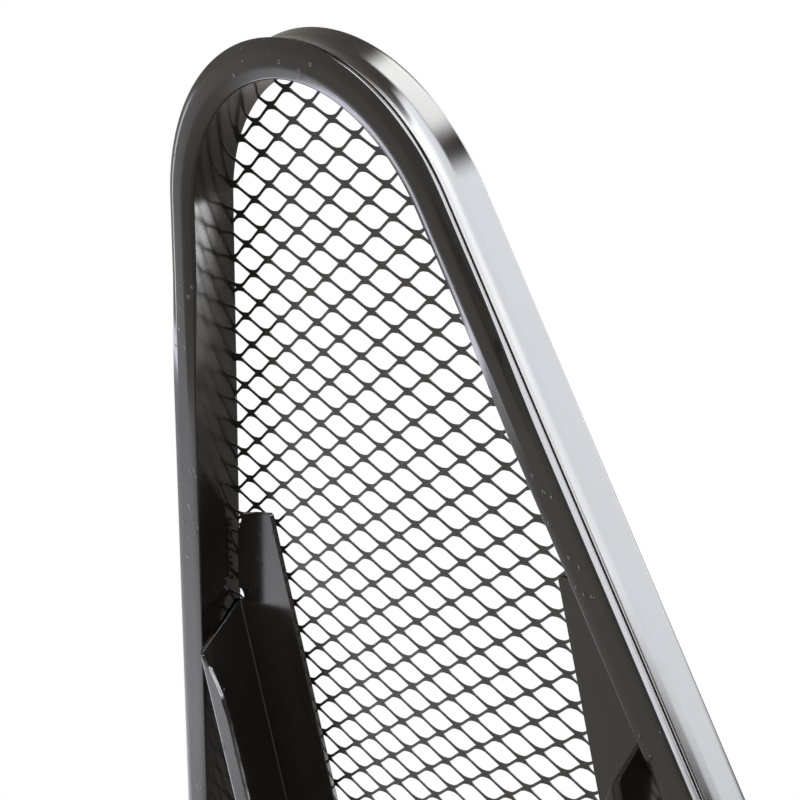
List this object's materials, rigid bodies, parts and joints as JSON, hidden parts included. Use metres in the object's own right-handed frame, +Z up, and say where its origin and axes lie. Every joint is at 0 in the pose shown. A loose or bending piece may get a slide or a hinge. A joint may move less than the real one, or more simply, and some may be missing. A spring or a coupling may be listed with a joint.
{
  "type": "folding side table",
  "caption": "Cantilevered folding table with a tapered round-nosed wire-mesh top, two folding uprights with hand knobs and a bent-tube floor frame.",
  "frame": {"origin": "on the floor, under the middle of the table's bounding box", "axes": "+Z up; -Y towards the narrow nose of the top, +Y towards the wide end with the hinges; X along both fold axes"},
  "size_m": [0.4236, 0.481, 0.5609],
  "materials": {
    "black_paint": "gloss black enamel",
    "mesh_paint": "gloss black enamel",
    "black_plastic": "matte black",
    "black_rubber": "matte black",
    "dark_steel": "black zinc"
  },
  "bodies": {
    "base": {"base_tube": "black_paint", "base_crossbar": "black_paint", "base_hinge_plate_left": "black_paint", "base_hinge_plate_right": "black_paint", "foot_front_left": "black_rubber", "foot_front_right": "black_rubber", "foot_rear_left": "black_rubber", "foot_rear_right": "black_rubber", "base_cap_left": "black_plastic", "base_cap_right": "black_plastic"},
    "uprights": {"upright_left": "black_paint", "upright_right": "black_paint", "upper_crossbar": "black_paint", "lower_crossbar": "black_paint", "upright_plug_top_left": "black_plastic", "upright_plug_top_right": "black_plastic", "upright_plug_base_left": "black_plastic", "upright_plug_base_right": "black_plastic", "top_pivot_bolt_left": "dark_steel", "top_pivot_bolt_right": "dark_steel", "top_clamp_bolt_left": "dark_steel", "top_clamp_bolt_right": "dark_steel", "top_pivot_sleeve_left": "dark_steel", "top_pivot_sleeve_right": "dark_steel", "top_clamp_sleeve_left": "dark_steel", "top_clamp_sleeve_right": "dark_steel", "top_pivot_nut_left": "dark_steel", "top_pivot_nut_right": "dark_steel", "base_pivot_bolt_left": "dark_steel", "base_pivot_bolt_right": "dark_steel", "base_clamp_bolt_left": "dark_steel", "base_clamp_bolt_right": "dark_steel", "base_pivot_sleeve_left": "dark_steel", "base_pivot_sleeve_right": "dark_steel", "base_clamp_sleeve_left": "dark_steel", "base_clamp_sleeve_right": "dark_steel", "base_pivot_nut_left": "dark_steel", "base_pivot_nut_right": "dark_steel"},
    "top": {"rim": "black_paint", "mesh_panel": "mesh_paint", "arm_left": "black_paint", "arm_right": "black_paint", "top_hinge_plate_left": "black_paint", "top_hinge_plate_right": "black_paint", "rivet_left_1": "dark_steel", "rivet_left_2": "dark_steel", "rivet_right_1": "dark_steel", "rivet_right_2": "dark_steel"},
    "top_knob_left": {"top_knob_left": "black_plastic"},
    "top_knob_right": {"top_knob_right": "black_plastic"},
    "base_knob_left": {"base_knob_left": "black_plastic"},
    "base_knob_right": {"base_knob_right": "black_plastic"}
  },
  "joints": [
    {"name": "base_fold", "type": "hinge", "parent": "base", "child": "uprights", "pos_m": [0, 0.21, 0.06], "axis": [1, 0, 0], "range_deg": [0, 90]},
    {"name": "top_fold", "type": "hinge", "parent": "uprights", "child": "top", "pos_m": [0, 0.21, 0.527], "axis": [1, 0, 0], "range_deg": [0, 90]},
    {"name": "top_knob_left_turn", "type": "hinge", "parent": "uprights", "child": "top_knob_left", "pos_m": [-0.067, 0.21, 0.501], "axis": [1, 0, 0], "range_deg": [0, 270]},
    {"name": "top_knob_right_turn", "type": "hinge", "parent": "uprights", "child": "top_knob_right", "pos_m": [0.067, 0.21, 0.501], "axis": [-1, 0, 0], "range_deg": [0, 270]},
    {"name": "base_knob_left_turn", "type": "hinge", "parent": "uprights", "child": "base_knob_left", "pos_m": [-0.067, 0.21, 0.086], "axis": [1, 0, 0], "range_deg": [0, 270]},
    {"name": "base_knob_right_turn", "type": "hinge", "parent": "uprights", "child": "base_knob_right", "pos_m": [0.067, 0.21, 0.086], "axis": [-1, 0, 0], "range_deg": [0, 270]}
  ]
}
